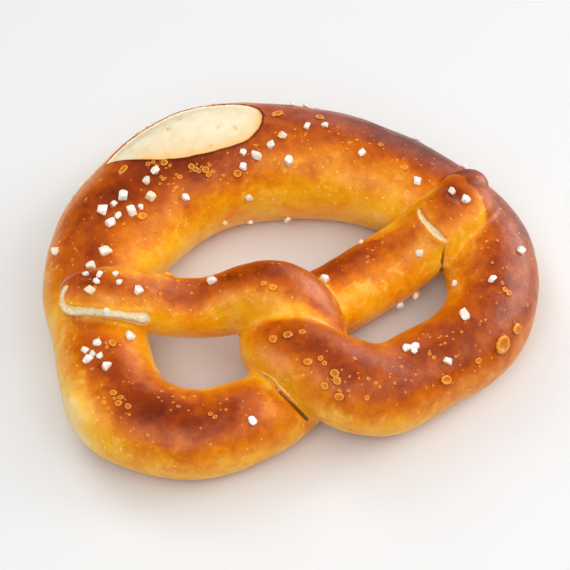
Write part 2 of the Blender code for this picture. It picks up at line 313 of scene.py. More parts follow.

# Creases where two strands press together, at the front seam and under the right arm: grooved,
# and painted dark as shade, with some scorching.
CREASES = [
    [
        (-23.9, -36.7, 20.2, 0.1),
        (-23.0, -40.7, 21.7, 0.1),
        (-21.9, -43.9, 22.7, 0.15),
        (-20.4, -48.4, 22.6, 0.2),
        (-19.0, -51.5, 21.7, 0.25),
        (-17.6, -53.8, 20.4, 0.3),
        (-15.9, -56.0, 18.3, 0.4),
        (-14.4, -57.3, 16.1, 0.45),
        (-13.0, -57.9, 13.5, 0.35),
    ],
    [
        (49.6, -18.4, 27.2, 0.1),
        (48.8, -18.9, 25.2, 0.3),
        (48.0, -20.0, 20.9, 0.5),
        (48.4, -19.0, 14.1, 0.6),
    ],
]

# Where the left loop's crust turns golden against the right loop's head.
HEAD_SEAM = [
    (-15.9, -25.1, 27.5, 0.2),
    (-12.9, -25.6, 29.6, 0.6),
    (-10.0, -25.8, 30.8, 0.8),
    (-4.9, -28.4, 30.0, 0.8),
    (0.7, -31.3, 27.0, 0.8),
    (3.6, -32.6, 25.0, 0.6),
]


def natural_spline(at, rows):
    """The second derivatives of the natural cubic spline through the rows."""
    count = len(at)
    step = np.diff(at)
    slope = np.diff(rows, axis=0) / step[:, None]
    matrix = np.eye(count)
    target = np.zeros_like(rows)
    for i in range(1, count - 1):
        matrix[i, i - 1] = step[i - 1]
        matrix[i, i] = 2 * (step[i - 1] + step[i])
        matrix[i, i + 1] = step[i]
        target[i] = 6 * (slope[i] - slope[i - 1])
    return np.linalg.solve(matrix, target)


def read_spline(at, rows, bends, t):
    """The spline's rows at t, and their rates of change."""
    t = np.atleast_1d(np.asarray(t, dtype=float))
    i = np.clip(np.searchsorted(at, t) - 1, 0, len(at) - 2)
    h = (at[i + 1] - at[i])[:, None]
    a = (at[i + 1] - t)[:, None] / h
    b = (t - at[i])[:, None] / h
    value = (a * rows[i] + b * rows[i + 1]
             + ((a ** 3 - a) * bends[i] + (b ** 3 - b) * bends[i + 1]) * h * h / 6)
    rate = ((rows[i + 1] - rows[i]) / h
            + ((3 * b * b - 1) * bends[i + 1] - (3 * a * a - 1) * bends[i]) * h / 6)
    return value, rate


def unit(vectors):
    """Each row of vectors at length 1."""
    return vectors / np.maximum(np.linalg.norm(vectors, axis=1, keepdims=True), 1e-12)


class Rope:
    """The rope of dough as a smooth line with an elliptical section."""

    def __init__(self):
        self.rows = np.array(STATIONS, dtype=float)
        self.rows[:, :2] -= OUTLINE_MIDDLE
        chords = np.linalg.norm(np.diff(self.rows[:, :3], axis=0), axis=1)
        self.at = np.concatenate([[0.0], np.cumsum(chords)])
        self.bends = natural_spline(self.at, self.rows)
        self.length = self.at[-1]
        self.first_cap = self.rows[0, 3] / 2
        self.last_cap = self.rows[-1, 3] / 2

    def sections(self, u):
        """Middle, along, side, up, half width and half height at each u."""
        u = np.atleast_1d(np.asarray(u, dtype=float))
        inside = np.clip(u, 0, self.length)
        value, rate = read_spline(self.at, self.rows, self.bends, inside)
        along = unit(rate[:, :3])
        side = unit(np.cross(along, [0, 0, 1.0]))
        up = np.cross(side, along)
        cap = np.where(u < 0, self.first_cap, self.last_cap)
        shrink = np.sqrt(np.maximum(0, 1 - ((u - inside) / cap) ** 2))
        middle = value[:, :3] + along * (u - inside)[:, None]
        return middle, along, side, up, value[:, 3] / 2 * shrink, value[:, 4] / 2 * shrink

    def surface(self, u, lean):
        """Points of the crust, and the way out there."""
        middle, along, side, up, half_width, half_height = self.sections(u)
        across = np.sin(np.radians(lean))
        above = np.cos(np.radians(lean))
        half_height = half_height * np.where(above < 0, SAG, 1.0)
        upright = up * 1e-9     # at a round end's tip, where there is no other way out
        out = side * (across * half_height)[:, None] + up * (above * half_width)[:, None] + upright
        point = (middle + side * (across * half_width)[:, None]
                 + up * (above * half_height)[:, None])
        return point, unit(out)

    def seat(self, u, lean):
        """A matrix at a place on the crust: X along the rope, Z the way out."""
        point, out = self.surface([u], np.array([lean]))
        ahead = self.surface([u + 1], np.array([lean]))[0] - point
        out, ahead = Vector(out[0]), Vector(ahead[0])
        across = out.cross(ahead).normalized()
        along = across.cross(out).normalized()
        turn = Matrix((along, across, out)).transposed()
        return Matrix.Translation(Vector(point[0]) * MM) @ turn.to_4x4()


rope = Rope()

# ---------------------------------------------------------------------------------------------
# Small tools
# ---------------------------------------------------------------------------------------------


def link_object(name, mesh):
    """An object of the mesh, in the scene."""
    made = bpy.data.objects.new(name, mesh)
    bpy.context.scene.collection.objects.link(made)
    return made


def mesh_from(name, bm):
    """A mesh of the bmesh, smooth shaded."""
    mesh = bpy.data.meshes.new(name)
    bm.to_mesh(mesh)
    bm.free()
    mesh.shade_smooth()
    return mesh


def smooth_step(low, high, value):
    """0 below low, 1 above high, and a smooth rise between."""
    t = np.clip((value - low) / (high - low), 0, 1)
    return t * t * (3 - 2 * t)


def field(points, size, seed, octaves=1):
    """Smooth noise of about -1 to 1 at each point; size is the width of its lumps."""
    shift = Vector((seed * 17.3, seed * 5.1, seed * 9.7))
    out = np.empty(len(points))
    for i, point in enumerate(points):
        place = Vector(point) / size + shift
        total = noise.noise(place)
        for octave in range(1, octaves):
            total += noise.noise(place * 2 ** octave) / 2 ** octave
        out[i] = total
    return out


def lens_outline(rows):
    """A closed outline round the rows (distance, far lean, near lean)."""
    rows = np.array(rows, dtype=float)
    at = np.linspace(0, 1, len(rows))
    t = (1 - np.cos(np.linspace(0, math.pi, EDGE_POINTS))) / 2
    value = read_spline(at, rows, natural_spline(at, rows), t)[0]
    far = value[:, [0, 1]]
    near = value[::-1][:, [0, 2]]
    return np.concatenate([far, near])


def outline_distance(points, outline):
    """Signed distance of flat points from a closed outline, negative inside."""
    best = np.full(len(points), np.inf)
    inside = np.zeros(len(points), dtype=bool)
    for a, b in zip(outline, np.roll(outline, -1, axis=0)):
        edge = b - a
        square = edge @ edge
        if square < 1e-12:
            continue
        t = np.clip(((points - a) @ edge) / square, 0, 1)
        best = np.minimum(best, np.linalg.norm(points - a - t[:, None] * edge, axis=1))
        crosses = (a[1] > points[:, 1]) != (b[1] > points[:, 1])
        with np.errstate(divide="ignore", invalid="ignore"):
            at_x = a[0] + (points[:, 1] - a[1]) / (b[1] - a[1]) * edge[0]
        inside ^= crosses & (points[:, 0] < at_x)
    return np.where(inside, -best, best)


def strip_distance(points, strip):
    """Distance of points from the edge of a strip, negative inside.

    Each row of the strip is a point of its middle line and half its width there.
    """
    strip = np.array(strip, dtype=float)
    best = np.full(len(points), np.inf)
    for a, b in zip(strip, strip[1:]):
        edge = (b - a)[:3]
        t = np.clip(((points - a[:3]) @ edge) / (edge @ edge), 0, 1)
        away = np.linalg.norm(points - a[:3] - t[:, None] * edge, axis=1)
        best = np.minimum(best, away - a[3] - t * (b[3] - a[3]))
    return best


# ---------------------------------------------------------------------------------------------
# The baked dough
# ---------------------------------------------------------------------------------------------

RINGS = 620             # of points along the rope
SIDES = 84              # round the rope
CAP_RINGS = 8           # of points over each round end
VOXEL = 0.76            # edge of the skin's faces
FACES_KEPT = 0.85       # share of them; the flat underside gives up nearly all of its own
LIP_VOXEL = 0.16
SEAM_REACH = 1.6        # how far the crease between two touching strands is softened
GUIDE_SPACING = 1.5     # of the rings of points from which places on the rope are measured
GUIDE_SIDES = 60
STRETCHES = 14          # of the rope; all but a point's own and the two next to it are other strands
TEAR_FULLNESS = 0.8     # of the strand of dough in the tear
LUMPS = [(0.5, 26, 1), (0.32, 11, 2), (0.13, 4.5, 3)]    # of the crust: height, width, seed

BELLY_RADIUS = 20.7     # of the belly's section, on average
SCORE_AREA = (225, 310, 75)     # first and last distance, and most lean, anywhere near the score
FAR_AWAY = 60.0         # stands for the distance from the score outside that area
SCORE_DEPTH = 0.7
SCORE_BULGE = 1.3       # by which the crumb rises again towards the score's middle
SCORE_EDGING = 0.2      # height of the crust's edge round the score
TEAR_DEPTH = 0.5
CRACK_DEPTH = 0.7
SPLIT_EDGING = 0.45     # height of the crust's edge round the tear and the crack
CREASE_DEPTH = 0.6

GILDING_REACH = 3.2     # how far the crumb is gilded, from the score's lower edge
SCORE_EDGE_DARKENING = 0.3      # how much browner the crust is at the score's edge
SEAM_PALING = 0.5       # share of the brown that is missing where two strands nearly touch
SEAM_SCORCH_AND_SHADE = 0.3       # how much darker it is in the seam itself: painted shade, with some scorching
UNDERSIDE_BAKE = 0.5    # how brown the flat underside is


def swept_dough(bm):
    """The rope's skin in the bmesh, closed at its two round ends."""
    cap = np.linspace(-1, 0, CAP_RINGS + 1)[:-1]
    first = rope.first_cap * np.sin(cap * math.pi / 2)
    last = rope.length - rope.last_cap * np.sin(cap[::-1] * math.pi / 2)
    u = np.concatenate([first, np.linspace(0, rope.length, RINGS), last])
    lean = np.arange(SIDES + 1) * 360 / SIDES
    grid_u, grid_lean = np.meshgrid(u, lean, indexing="ij")
    points = rope.surface(grid_u.ravel(), grid_lean.ravel())[0].reshape(len(u), SIDES + 1, 3)
    made = bmesh.ops.create_grid(bm, x_segments=len(u) - 1, y_segments=SIDES, size=0.5)
    for vert in made["verts"]:
        i = round((vert.co.x + 0.5) * (len(u) - 1))
        j = round((vert.co.y + 0.5) * SIDES)
        vert.co = Vector(points[i, j]) * MM
    bmesh.ops.remove_doubles(bm, verts=bm.verts, dist=0.005 * MM)


def thin_strand(bm, strip, fullness=1.0):
    """A thin strand of dough along a strip, its radius a share of the strip's half width."""
    strip = np.array(strip, dtype=float)
    at = np.linspace(0, 1, len(strip))
    middle = read_spline(at, strip, natural_spline(at, strip), np.linspace(0, 1, 90))[0]
    for x, y, z, half_width in middle:
        made = bmesh.ops.create_icosphere(bm, subdivisions=2, radius=half_width * fullness * MM)
        bmesh.ops.translate(bm, vec=Vector((x, y, z)) * MM, verts=made["verts"])


def remeshed(bm, name, voxel):
    """The outer skin of the bmesh as even faces about one voxel wide."""
    rough = link_object(name + "_rough", mesh_from(name + "_rough", bm))
    skin = rough.modifiers.new("skin", "REMESH")
    skin.mode = "VOXEL"
    skin.voxel_size = voxel * MM
    skin.adaptivity = 0
    graph = bpy.context.evaluated_depsgraph_get()
    mesh = bpy.data.meshes.new_from_object(rough.evaluated_get(graph))
    mesh.name = name
    bpy.data.objects.remove(rough)
    return mesh


def mesh_arrays(mesh):
    """Points in millimetres, and the two ends of every edge."""
    points = np.empty(len(mesh.vertices) * 3, dtype=np.float32)
    mesh.vertices.foreach_get("co", points)
    edges = np.empty(len(mesh.edges) * 2, dtype=np.int32)
    mesh.edges.foreach_get("vertices", edges)
    return points.reshape(-1, 3).astype(float) / MM, edges.reshape(-1, 2)


def set_values(mesh, name, values):
    """One number for each point of the mesh."""
    layer = mesh.attributes.new(name, "FLOAT", "POINT")
    layer.data.foreach_set("value", np.array(values, dtype=np.float32))


def normals_of(mesh, points):
    """Vertex normals of the mesh with its points moved there."""
    mesh.vertices.foreach_set("co", (points * MM).astype(np.float32).ravel())
    mesh.update()
    out = np.empty(len(points) * 3, dtype=np.float32)
    mesh.vertex_normals.foreach_get("vector", out)
    return out.reshape(-1, 3).astype(float)


def relax(points, edges, weight, rounds):
    """Each point drawn to its neighbours' middle, by its own weight."""
    count = len(points)
    a, b = edges[:, 0], edges[:, 1]
    degree = np.bincount(a, minlength=count) + np.bincount(b, minlength=count)
    for _ in range(rounds):
        middle = np.empty_like(points)
        for axis in range(points.shape[1]):
            total = np.bincount(a, points[b, axis], count) + np.bincount(b, points[a, axis], count)
            middle[:, axis] = total / degree
        points = points + (middle - points) * weight[:, None]
    return points


def places_on_rope(points):
    """For each point: distance along the rope, lean, and how near another strand is."""
    u = np.arange(0, rope.length, GUIDE_SPACING)
    lean = np.arange(GUIDE_SIDES) * 360 / GUIDE_SIDES
    guide_u, guide_lean = [grid.ravel() for grid in np.meshgrid(u, lean, indexing="ij")]
    skin = rope.surface(guide_u, guide_lean)[0]
    stretch = rope.length / STRETCHES
    trees = []
    for k in range(STRETCHES):
        tree = KDTree(len(skin))
        for index in np.where((guide_u >= k * stretch) & (guide_u < (k + 1) * stretch))[0]:
            tree.insert(skin[index], int(index))
        tree.balance()
        trees.append(tree)
    nearest = np.zeros((len(points), STRETCHES))
    index = np.zeros((len(points), STRETCHES), dtype=int)
    for i, point in enumerate(points):
        for k, tree in enumerate(trees):
            _, found, distance = tree.find(point)
            nearest[i, k] = distance
            index[i, k] = found
    best = nearest.argmin(axis=1)
    chosen = index[np.arange(len(points)), best]
    near_u, near_lean = guide_u[chosen], guide_lean[chosen]
    offset = points - skin[chosen]
    _, along, side, up, half_width, half_height = rope.sections(near_u)
    radians = np.radians(near_lean)
    round_way = (side * (np.cos(radians) * half_width)[:, None]
                 - up * (np.sin(radians) * half_height)[:, None])
    reach = np.linalg.norm(round_way, axis=1)
    near_u = near_u + (offset * along).sum(axis=1)
    near_lean = near_lean + np.degrees((offset * round_way).sum(axis=1) / reach ** 2)
    near_lean = (near_lean + 180) % 360 - 180
    same_strand = np.abs(best[:, None] - np.arange(STRETCHES)) <= 1
    return near_u, near_lean, np.where(same_strand, np.inf, nearest).min(axis=1)


def browning(u, lean):
    """How brown the crust is at each place, before any mottling."""
    at, darkest, left, right, depth = np.array(BROWNING, dtype=float).T
    away = lean - np.interp(u, at, darkest)
    half = np.where(away < 0, np.interp(u, at, left), np.interp(u, at, right))
    return np.interp(u, at, depth) * 0.5 ** ((away / half) ** 2)


def bumps(points, rows):
    """The sum of round bumps; each row is distance, lean, reach and height."""
    out = np.zeros(len(points))
    for u, lean, reach, height in rows:
        middle = rope.surface([u], np.array([lean]))[0]
        away = np.linalg.norm(points - middle, axis=1)
        out += height * np.exp(-(away / reach) ** 2)
    return out


def rope_mesh():
    """The rope, its knobs and the dough in its tear as one skin: mesh, points and edges."""
    bm = bmesh.new()
    swept_dough(bm)
    thin_strand(bm, END_TEAR, TEAR_FULLNESS)
    for x, y, z, length, width, height in KNOBS:
        knob = bmesh.ops.create_icosphere(bm, subdivisions=4, radius=0.5 * MM)["verts"]
        bmesh.ops.scale(bm, vec=(length, width, height), verts=knob)
        place = Vector((x - OUTLINE_MIDDLE[0], y - OUTLINE_MIDDLE[1], z)) * MM
        bmesh.ops.translate(bm, vec=place, verts=knob)
    mesh = remeshed(bm, "baked_dough", VOXEL)
    points, edges = mesh_arrays(mesh)
    return mesh, relax(points, edges, np.full(len(points), 0.5), 4), edges


def score_distance(points, u, lean, close):
    """Distance over the crust from the score's edge, negative inside."""
    flat = np.stack([u, np.radians(lean) * BELLY_RADIUS], axis=1)
    outline = lens_outline(SCORE) * [1, math.radians(1) * BELLY_RADIUS]
    score = np.full(len(points), FAR_AWAY)
    score[close] = outline_distance(flat[close], outline) + 0.25 * field(points[close], 5, 4, 2)
    return score


def with_score(points, lift, lumps, score, close):
    """The lift with the score's smoother crumb, sunk at its edge and bulging in its middle."""
    lift = np.where(score < 0.3, lift - lumps * 0.5 + 0.1 * field(points, 3, 6, 2), lift)
    edging = SCORE_EDGING * np.exp(-((score - 0.5) / 0.5) ** 2)
    depth = SCORE_DEPTH * smooth_step(-0.4, 0.8, -score) - SCORE_BULGE * smooth_step(0.5, 9, -score)
    return np.where(close, lift + edging - depth, lift)


def baked(points, normals, u, lean, other, score):
    """How brown the crust is at each point, with painted shade and painted highlight in places."""
    bake = browning(u, lean) + bumps(points, BAKE_AND_SHADING_PATCHES)
    bake *= 1 - SEAM_PALING * (1 - smooth_step(0.3, 3.5, other))
    bake *= smooth_step(-1.5, 2.5, strip_distance(points, HEAD_SEAM))
    # painted shade, with some scorching: darker where two strands touch
    bake += SEAM_SCORCH_AND_SHADE * (1 - smooth_step(0, 0.8, other))
    bake += 0.10 * field(points, 16, 8, 2) + 0.08 * field(points, 6, 9, 2)
    bake += SCORE_EDGE_DARKENING * np.exp(-(np.maximum(score, 0) / 0.8) ** 2)
    return bake + smooth_step(-0.6, -0.95, normals[:, 2]) * (UNDERSIDE_BAKE - bake)


def make_dough():
    """The baked dough, with its score, tears and creases, and what the finish reads."""
    mesh, points, edges = rope_mesh()
    u, lean, other = places_on_rope(points)
    points = relax(points, edges, 0.6 * (1 - smooth_step(0.5, SEAM_REACH, other)), 4)
    normals = normals_of(mesh, points)

    first, last, most_lean = SCORE_AREA
    close = (u > first) & (u < last) & (np.abs(lean) < most_lean)
    score = score_distance(points, u, lean, close)
    tear = strip_distance(points, END_TEAR)
    crack = strip_distance(points, ARM_CRACK)
    ragged = 0.25 * field(points, 3, 7, 2)
    for split in (tear, crack):
        split += np.where(split < 5, ragged, 0)
    crease = np.minimum.reduce([strip_distance(points, strip) for strip in CREASES])

    lumps = sum(height * field(points, width, seed) for height, width, seed in LUMPS)
    lift = lumps * (0.6 + 0.4 * smooth_step(-0.5, 0.3, normals[:, 2])) + bumps(points, PRESSED)
    lift = with_score(points, lift, lumps, score, close)
    for split, deep in ((tear, TEAR_DEPTH), (crack, CRACK_DEPTH)):
        lift += SPLIT_EDGING * np.exp(-((split - 0.6) / 0.7) ** 2)
        lift -= deep * smooth_step(-0.2, 0.6, -split)
    lift -= CREASE_DEPTH * (1 - smooth_step(-0.2, 1.0, crease))
    points = points + normals * lift[:, None]
    points[:, 2] = np.maximum(points[:, 2], 0)

    bake = baked(points, normals_of(mesh, points), u, lean, other, score)
    evened = relax(bake[:, None], edges, 0.6 * (1 - smooth_step(2, 4, other)), 8)
    gilded = np.exp(np.minimum(score, 0) / GILDING_REACH) * smooth_step(-30, -5, lean)
    numbers = {
        "bake": evened[:, 0],
        "crease": crease,
        "crumb_edge": np.minimum(score, np.minimum(tear, crack)),
        "torn": np.where(np.minimum(tear, crack) < score, 1.0, 0.0),
        "gilded": np.where(close, gilded, 0.0),
    }
    for name, values in numbers.items():
        set_values(mesh, name, values)
    mesh.shade_smooth()
    made = link_object("baked_dough", mesh)
    thinned = made.modifiers.new("thinned", "DECIMATE")
    thinned.ratio = FACES_KEPT
    return made, points, numbers["bake"], numbers["crumb_edge"]


def make_lip():
    """The thin pale ridge along the front seam."""
    bm = bmesh.new()
    thin_strand(bm, FRONT_LIP)
    mesh = remeshed(bm, "seam_lip", LIP_VOXEL)
    points, edges = mesh_arrays(mesh)
    points = relax(points, edges, np.full(len(points), 0.5), 4)
    wobble = 0.15 * field(points, 2.5, 10, 2) + 0.2 * field(points, 7, 11)
    normals_of(mesh, points + normals_of(mesh, points) * wobble[:, None])
    mesh.shade_smooth()
    return link_object("seam_lip", mesh)


# ---------------------------------------------------------------------------------------------
# Salt and blisters
# ---------------------------------------------------------------------------------------------

MOST_STEP = 1.5         # from the rope's own surface to the finished dough's
SALT_RISE = 0.2         # from the crust up to a grain's middle, as a share of its longest side
SALT_BREAKS = 11        # how often a corner or an edge of a grain is broken off
STAINED_SALT = 0.2      # share of the grains
BLISTER_HEIGHT = 0.18   # as a share of its width
WHOLE_BLISTERS = 0.25   # share of the blisters whose roof still stands
FINE_BLISTER = 1.6      # width below which a blister needs fewer sides
CRUMB_MARGIN = 0.8      # least distance of a blister from bare crumb
MOST_OFF = 0.6          # most distance of its place from a point of the crust

# Half sections of a blister one unit in radius: away from its middle, and up.
RING = [(1.3, -0.5), (1.14, -0.03), (1.0, 0.35), (0.9, 0.85), (0.78, 1.0), (0.64, 0.85),
        (0.45, 0.55), (0, 0.5)]
DOME = [(1.3, -0.5), (1.14, -0.03), (1.0, 0.35), (0.88, 0.7), (0.66, 0.92), (0.35, 1.0), (0, 1.02)]


class Crust:
    """The finished dough's points, for what sits on it."""

    def __init__(self, points, bake, crumb):
        self.bake = bake
        self.crumb = crumb
        self.tree = KDTree(len(points))
        for index, point in enumerate(points):
            self.tree.insert(point, index)
        self.tree.balance()

    def nearest(self, place):
        """The nearest point's number, and the step there from a placed matrix's origin."""
        here = place.translation / MM
        point, index, _ = self.tree.find(here)
        return index, point - here

    def seat(self, u, lean, lift):
        """A place on the rope, brought out or in to the dough's own surface."""
        place = rope.seat(u, lean)
        out = place.to_3x3().col[2]
        step = self.nearest(place)[1].dot(out)
        step = max(-MOST_STEP, min(MOST_STEP, step))
        return Matrix.Translation(out * (step + lift) * MM) @ place


def salt_crystal(draw, size):
    """A crushed salt crystal: a block with most corners and some edges broken off."""
    half = Vector((size / 2, size / 2 * draw.uniform(0.62, 0.95), size / 2 * draw.uniform(0.55, 0.8)))
    grain = bmesh.new()
    bmesh.ops.create_cube(grain, size=2)
    bmesh.ops.scale(grain, vec=half * MM, verts=grain.verts)
    for _ in range(SALT_BREAKS):
        way = Vector([draw.choice((-1, 1)) * draw.uniform(0.15, 1) for _ in range(3)])
        corner = Vector([math.copysign(h, w) for h, w in zip(half, way)])
        cut = bmesh.ops.bisect_plane(
            grain, geom=grain.verts[:] + grain.edges[:] + grain.faces[:],
            plane_co=corner * draw.uniform(0.55, 0.85) * MM, plane_no=way, clear_outer=True)
        rim = [item for item in cut["geom_cut"] if isinstance(item, bmesh.types.BMEdge)]
        if rim:
            bmesh.ops.edgenet_fill(grain, edges=rim)
    bmesh.ops.remove_doubles(grain, verts=grain.verts, dist=0.02 * MM)
    bmesh.ops.recalc_face_normals(grain, faces=grain.faces)
    bmesh.ops.bevel(grain, geom=grain.edges[:], offset=0.12 * MM, affect="EDGES", segments=2,
                    profile=0.5, material=-1, clamp_overlap=True)
    bmesh.ops.remove_doubles(grain, verts=grain.verts, dist=0.01 * MM)
    bmesh.ops.triangulate(grain, faces=grain.faces[:])
    return grain


def join(bm, piece, place):
    """Add a piece to the bmesh at its place."""
    bmesh.ops.transform(piece, matrix=place, verts=piece.verts)
    mesh = bpy.data.meshes.new("piece")
    piece.to_mesh(mesh)
    bm.from_mesh(mesh)
    bpy.data.meshes.remove(mesh)
    piece.free()


def make_salt(crust):
    """Every grain of salt, partly sunk in the crust; some are cream with baked dough."""
    draw = random.Random(SALT_SEED)
    bm = bmesh.new()
    tints = []
    for u, lean, size in SALT:
        tumble = (Matrix.Rotation(draw.uniform(0, math.tau), 4, "Z")
                  @ Matrix.Rotation(draw.uniform(-0.5, 0.5), 4, "X")
                  @ Matrix.Rotation(draw.uniform(-0.4, 0.4), 4, "Y"))
        grain = salt_crystal(draw, size)
        tint = 0.9 if draw.random() < STAINED_SALT else draw.uniform(0, 0.35)
        tints += [tint] * len(grain.verts)
        join(bm, grain, crust.seat(u, lean, SALT_RISE * size) @ tumble)
    mesh = mesh_from("salt_grains", bm)
    set_values(mesh, "tint", tints)
    return link_object("salt_grains", mesh)


def blister(outline, across):
    """A blister of crust one unit in radius: a dome, or a ring where its roof fell in."""
    made = bmesh.new()
    verts = [made.verts.new((away, 0, up)) for away, up in outline]
    edges = [made.edges.new(pair) for pair in zip(verts, verts[1:])]
    steps = 12 if across < FINE_BLISTER else 20
    bmesh.ops.spin(made, geom=verts + edges, axis=(0, 0, 1), cent=(0, 0, 0), dvec=(0, 0, 0),
                   angle=math.tau, steps=steps, use_merge=True, use_duplicate=False)
    bmesh.ops.remove_doubles(made, verts=made.verts, dist=1e-4)
    bmesh.ops.recalc_face_normals(made, faces=made.faces)
    return made


def make_blisters(crust):
    """The blisters at their places, and fine ones scattered in their patches."""
    draw = random.Random(BLISTER_SEED)
    wanted = list(BLISTERS)
    for u, lean, across in SMALL_BLISTERS:
        wanted.append((u, lean, across * draw.uniform(1, 1.25), across, across * BLISTER_HEIGHT))
    for u0, u1, lean0, lean1, count, least, most in BLISTER_PATCHES:
        for _ in range(count):
            across = least + (most - least) * draw.random() ** 2
            wanted.append((draw.uniform(u0, u1), draw.uniform(lean0, lean1),
                           across * draw.uniform(1, 1.4), across, across * BLISTER_HEIGHT))
    bm = bmesh.new()
    bakes_and_shading, reaches = [], []
    for u, lean, length, width, height in wanted:
        place = crust.seat(u, lean, 0)
        index, step = crust.nearest(place)
        if crust.crumb[index] < CRUMB_MARGIN or step.length > MOST_OFF:
            continue
        piece = blister(DOME if draw.random() < WHOLE_BLISTERS else RING, width)
        for vert in piece.verts:
            vert.co.xy *= 1 + draw.uniform(-0.07, 0.07)
        reaches += [math.hypot(vert.co.x, vert.co.y) for vert in piece.verts]
        bakes_and_shading += [crust.bake[index]] * len(piece.verts)
        shape = Matrix.Diagonal((length / 2 * MM, width / 2 * MM, height * MM, 1))
        join(bm, piece, place @ Matrix.Rotation(draw.uniform(-0.6, 0.6), 4, "Z") @ shape)
    mesh = mesh_from("crust_blisters", bm)
    set_values(mesh, "bake", bakes_and_shading)
    set_values(mesh, "reach", reaches)
    return link_object("crust_blisters", mesh)


# ---------------------------------------------------------------------------------------------
# Materials
# ---------------------------------------------------------------------------------------------

# The crust's colours, from barely baked to mahogany.
CRUST_SHADES = [(0.0, "#F9BC26"), (0.12, "#F4A60C"), (0.32, "#E58300"), (0.55, "#C45A00"),
                (0.78, "#963500"), (1.0, "#6A1D00")]

# Noises: width of their lumps, detail, roughness, distortion.
NOISES = {
    "blotch": (7, 3, 0.5, 0.5),         # where the lye lay thicker or thinner
    "mottle": (2.6, 4, 0.6, 0.4),       # the baked skin
    "patch": (6, 5, 0.65, 1.2),         # golden patches
    "fine": (0.7, 2, 0.5, 0),           # the finest pimples of the skin
    "crumb": (3.5, 4, 0.6, 0),
    "pit": (0.6, 2, 0.6, 0),            # open pores of torn crumb
    "edge": (3, 3, 0.6, 0),             # along the lip of the front seam
    "crystal": (0.9, 3, 0.6, 0),        # cloudiness of the salt
}
SPECKS = (2.2, 0.2, 0.35)       # width of the cells, reach of a dot, share of cells that have one
# dots of the score's crumb, painted darker as the shade in its pores
PORES = (5, 0.24, 0.4)

SMOOTH = {"interpolation_type": "SMOOTHSTEP"}
PRODUCT = {"operation": "MULTIPLY"}


def linear(code):
    """An sRGB hex colour as linear red, green, blue and alpha."""
    parts = [int(code[i:i + 2], 16) / 255 for i in (1, 3, 5)]
    return [c / 12.92 if c <= 0.04045 else ((c + 0.055) / 1.055) ** 2.4 for c in parts] + [1.0]


def feed(tree, node, inputs):
    """Give a node its inputs, each a value or another node's output."""
    for key, value in inputs.items():
        if isinstance(value, bpy.types.NodeSocket):
            tree.links.new(value, node.inputs[key])
        else:
            node.inputs[key].default_value = value


def add_node(tree, kind, settings, inputs, output=0):
    """One of the outputs of a new node with these settings and inputs."""
    node = tree.nodes.new("ShaderNode" + kind)
    for key, value in settings.items():
        setattr(node, key, value)
    feed(tree, node, inputs if isinstance(inputs, dict) else dict(enumerate(inputs)))
    return node.outputs[output]


def new_material(name):
    """A material, its tree and its Principled shader."""
    made = bpy.data.materials.new(name)
    made.use_nodes = True
    return made, made.node_tree, made.node_tree.nodes["Principled BSDF"]


def noises(tree, *names):
    """The values of the named noises, in the object's own space."""
    place = add_node(tree, "TexCoord", {}, {}, "Object")
    values = []
    for name in names:
        width, detail, roughness, distortion = NOISES[name]
        values.append(add_node(tree, "TexNoise", {}, {
            "Vector": place, "Scale": 1 / (width * MM), "Detail": detail,
            "Roughness": roughness, "Distortion": distortion}))
    return values


def dots(tree, cell, reach, share):
    """Small round dots, one in some of the cells of a pattern."""
    place = add_node(tree, "TexCoord", {}, {}, "Object")
    distance = add_node(tree, "TexVoronoi", {}, {"Vector": place, "Scale": 1 / (cell * MM)})
    chance = add_node(tree, "SeparateColor", {}, {"Color": distance.node.outputs["Color"]})
    picked = add_node(tree, "Math", {"operation": "LESS_THAN"}, [chance, share])
    dot = add_node(tree, "MapRange", SMOOTH, [distance, reach, reach * 0.6])
    return add_node(tree, "Math", PRODUCT, [dot, picked])


def summed(tree, start, parts):
    """A start plus some values, each times its own weight."""
    for value, weight in parts:
        start = add_node(tree, "Math", {"operation": "MULTIPLY_ADD"}, [value, weight, start])
    return start


def swung(tree, value, swings):
    """A value moved up and down by noises about 0.5, each with its own reach."""
    return summed(tree, -0.5 * sum(reach for _, reach in swings), [(value, 1.0)] + swings)


def coated(tree, colour, coats):
    """A colour under coats of others; each coat is how much of it there is, and its colour."""
    for share, coat in coats:
        colour, coat = [linear(c) if isinstance(c, str) else c for c in (colour, coat)]
        colour = add_node(tree, "Mix", {"data_type": "RGBA"}, {0: share, 6: colour, 7: coat}, 2)
    return colour


def crust_colour(tree, shade):
    """The crust's colour where it is baked to a shade from 0 to 1."""
    colour = add_node(tree, "ValToRGB", {}, [shade])
    band = colour.node.color_ramp
    while len(band.elements) < len(CRUST_SHADES):
        band.elements.new(0.5)
    for element, (place, code) in zip(band.elements, CRUST_SHADES):
        element.position = place
        element.color = linear(code)
    return colour


# The satin film that lye leaves on crust.
SATIN = {"IOR": 1.45, "Specular IOR Level": 0.5, "Specular Tint": linear("#FFE9D6")}


